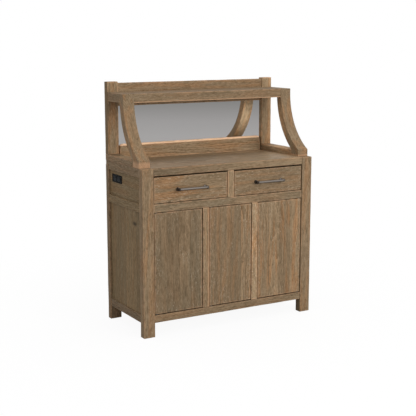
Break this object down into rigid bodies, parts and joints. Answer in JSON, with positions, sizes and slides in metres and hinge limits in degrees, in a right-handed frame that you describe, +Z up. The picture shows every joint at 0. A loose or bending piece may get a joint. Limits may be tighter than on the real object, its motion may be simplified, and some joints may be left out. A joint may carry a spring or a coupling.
{
  "type": "buffet server cabinet",
  "caption": "Wooden buffet server: frame-and-panel base with drawers over push-open doors, and a mirrored hutch shelf on curved brackets.",
  "frame": {"origin": "on the floor, in the middle of the width and of the depth, pulls included", "axes": "+Z up, -Y out of the front, +X to the viewer's right when facing the front"},
  "size_m": [1.0668, 0.4812, 1.3305],
  "materials": {
    "oak": "weathered, wire-brushed oak, matt",
    "inner_wood": "plain clear-coated wood",
    "gunmetal": "dark satin metal",
    "mirror_glass": "plain silvered mirror",
    "black_plastic": "matt black moulding",
    "grey_plastic": "matt grey moulding"
  },
  "bodies": {
    "case": {"front_top_rail": "oak", "front_mid_rail": "oak", "front_bottom_rail": "oak", "drawer_divider": "oak", "muntin_left": "oak", "muntin_right": "oak", "top_panel": "oak", "back_panel": "oak", "hutch_shelf": "oak", "shelf_front_rail": "oak", "hutch_back_rail": "oak", "backsplash": "oak", "mirror_back": "oak", "front_post_left": "oak", "rear_post_left": "oak", "side_top_rail_left": "oak", "side_mid_rail_left": "oak", "side_bottom_rail_left": "oak", "side_upper_panel_left": "oak", "side_lower_panel_left": "oak", "gallery_rail_left": "oak", "hutch_post_left": "oak", "bracket_left": "oak", "shelf_side_rail_left": "oak", "front_post_right": "oak", "rear_post_right": "oak", "side_top_rail_right": "oak", "side_mid_rail_right": "oak", "side_bottom_rail_right": "oak", "side_upper_panel_right": "oak", "side_lower_panel_right": "oak", "gallery_rail_right": "oak", "hutch_post_right": "oak", "bracket_right": "oak", "shelf_side_rail_right": "oak", "bottom_panel": "inner_wood", "inner_shelf": "inner_wood", "drawer_deck": "inner_wood", "latch_rail": "inner_wood", "mirror": "mirror_glass", "outlet_bezel": "black_plastic", "outlet_module": "black_plastic"},
    "drawer_left": {"drawer_left_front": "oak", "drawer_left_inner_side": "inner_wood", "drawer_left_outer_side": "inner_wood", "drawer_left_back": "inner_wood", "drawer_left_bottom": "inner_wood", "drawer_left_pull": "gunmetal"},
    "drawer_right": {"drawer_right_front": "oak", "drawer_right_inner_side": "inner_wood", "drawer_right_outer_side": "inner_wood", "drawer_right_back": "inner_wood", "drawer_right_bottom": "inner_wood", "drawer_right_pull": "gunmetal"},
    "door_left": {"door_left": "oak"},
    "latch_left": {"latch_plunger_left": "grey_plastic"},
    "door_middle": {"door_middle": "oak"},
    "latch_middle": {"latch_plunger_middle": "grey_plastic"},
    "door_right": {"door_right": "oak"},
    "latch_right": {"latch_plunger_right": "grey_plastic"}
  },
  "joints": [
    {"name": "drawer_left_slide", "type": "slide", "parent": "case", "child": "drawer_left", "axis": [0, -1, 0], "range_m": [0, 0.3]},
    {"name": "drawer_right_slide", "type": "slide", "parent": "case", "child": "drawer_right", "axis": [0, -1, 0], "range_m": [0, 0.3]},
    {"name": "door_left_pivot", "type": "hinge", "parent": "case", "child": "door_left", "pos_m": [-0.4524, -0.20538, 0.4], "axis": [0, 0, -1], "range_deg": [0, 100]},
    {"name": "door_middle_pivot", "type": "hinge", "parent": "case", "child": "door_middle", "pos_m": [-0.1203, -0.20538, 0.4], "axis": [0, 0, -1], "range_deg": [0, 100]},
    {"name": "door_right_pivot", "type": "hinge", "parent": "case", "child": "door_right", "pos_m": [0.4524, -0.20538, 0.4], "axis": [0, 0, 1], "range_deg": [0, 100]},
    {"name": "latch_left_press", "type": "slide", "parent": "case", "child": "latch_left", "axis": [0, 1, 0], "range_m": [0, 0.003], "stiffness_N_per_m": 200},
    {"name": "latch_middle_press", "type": "slide", "parent": "case", "child": "latch_middle", "axis": [0, 1, 0], "range_m": [0, 0.003], "stiffness_N_per_m": 200},
    {"name": "latch_right_press", "type": "slide", "parent": "case", "child": "latch_right", "axis": [0, 1, 0], "range_m": [0, 0.003], "stiffness_N_per_m": 200}
  ]
}
